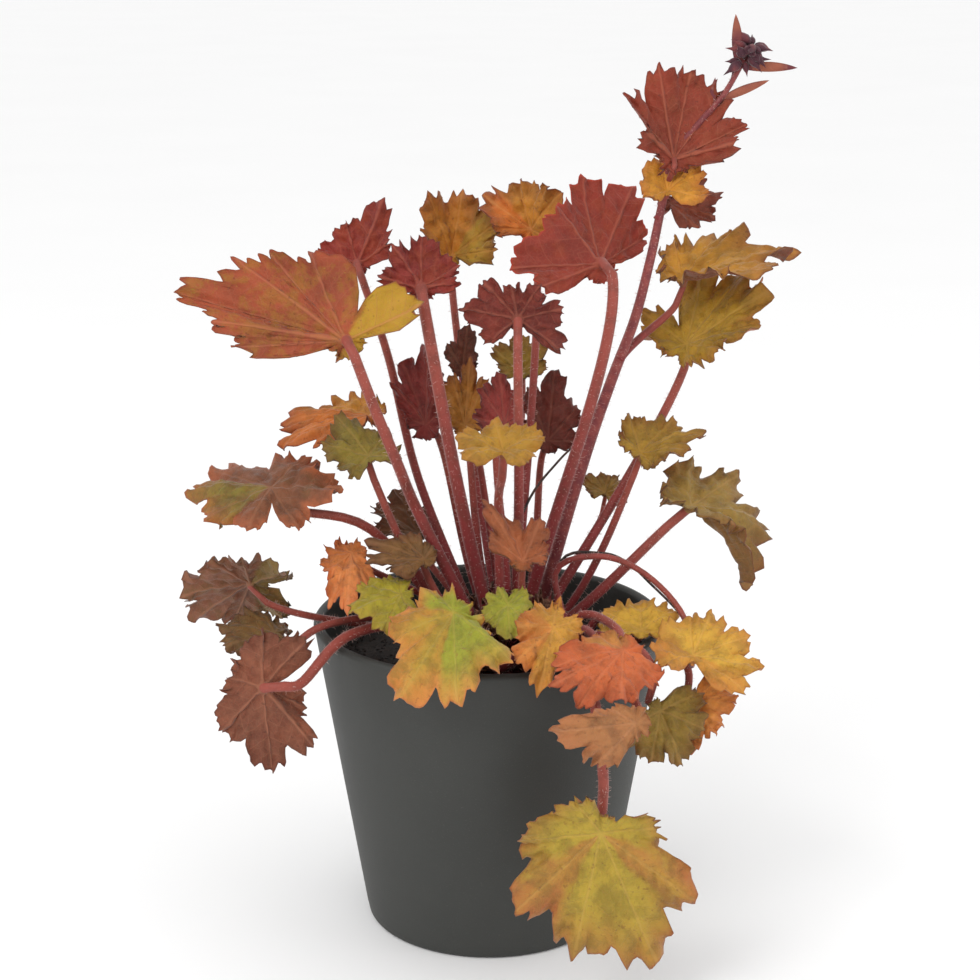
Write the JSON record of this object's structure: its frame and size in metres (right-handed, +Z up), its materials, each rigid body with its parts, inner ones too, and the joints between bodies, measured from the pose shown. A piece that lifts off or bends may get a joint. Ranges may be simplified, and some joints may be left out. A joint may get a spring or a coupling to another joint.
{
  "type": "heuchera plant in a pot",
  "caption": "Heuchera in a round tapered nursery pot: lobed, ruffled leaves in red, amber, olive and orange on long hairy stalks, with one flower stem in bud.",
  "frame": {"origin": "centre of the pot's base, on the surface that it stands on", "axes": "+Z up; the picture was taken from the -Y side; +X to the right in the picture"},
  "size_m": [0.2607, 0.1902, 0.387],
  "materials": {
    "pot": "matt anthracite, moulded",
    "soil": "dark moist potting compost, crumbly",
    "crown": "rough woody crown with old stalk bases",
    "leaf_red": "matt dark red leaf, finely hairy",
    "leaf_brown": "matt red-brown leaf, finely hairy",
    "leaf_orange": "matt orange leaf, finely hairy",
    "leaf_amber": "matt amber leaf, finely hairy",
    "leaf_yellow": "matt yellow leaf, finely hairy",
    "leaf_olive": "matt olive leaf, finely hairy",
    "leaf_green": "matt yellow-green leaf, finely hairy",
    "leaf_salmon": "matt salmon leaf, finely hairy",
    "leaf_copper": "matt copper leaf, finely hairy",
    "flower_stem": "dark red hairy stem with small leaves and purple buds"
  },
  "bodies": {
    "root": {"pot": "pot", "soil": "soil", "crown": "crown", "leaf_upper_left_red": "leaf_red", "leaf_upper_mid_red": "leaf_red", "leaf_tall_pink_stalk": "leaf_red", "leaf_top_mustard": "leaf_amber", "leaf_top_orange": "leaf_orange", "leaf_big_red_funnel": "leaf_red", "leaf_right_olive": "leaf_olive", "leaf_right_small_olive": "leaf_olive", "leaf_right_drooping": "leaf_olive", "leaf_back_small_olive": "leaf_olive", "leaf_mid_red_right": "leaf_red", "leaf_mid_red_left": "leaf_red", "leaf_inner_brown": "leaf_brown", "leaf_inner_mustard": "leaf_amber", "leaf_inner_red": "leaf_red", "leaf_inner_olive": "leaf_olive", "leaf_right_dark_red": "leaf_brown", "leaf_centre_yellow": "leaf_yellow", "leaf_low_centre_brown": "leaf_brown", "leaf_left_orange": "leaf_orange", "leaf_left_olive": "leaf_olive", "leaf_left_long": "leaf_brown", "leaf_left_dark": "leaf_brown", "leaf_left_low_brown": "leaf_brown", "leaf_left_salmon": "leaf_salmon", "leaf_left_brown_flat": "leaf_brown", "leaf_left_brown_small": "leaf_brown", "leaf_left_drooping": "leaf_copper", "leaf_front_yellow_left": "leaf_yellow", "leaf_front_green": "leaf_green", "leaf_front_small_green": "leaf_green", "leaf_front_right_yellow": "leaf_amber", "leaf_right_yellow": "leaf_yellow", "leaf_right_wide": "leaf_yellow", "leaf_front_orange": "leaf_orange", "leaf_front_pale": "leaf_copper", "leaf_right_olive_low": "leaf_olive", "leaf_right_orange_low": "leaf_orange", "leaf_hanging": "leaf_yellow", "flower_stem": "flower_stem"}
  },
  "joints": []
}
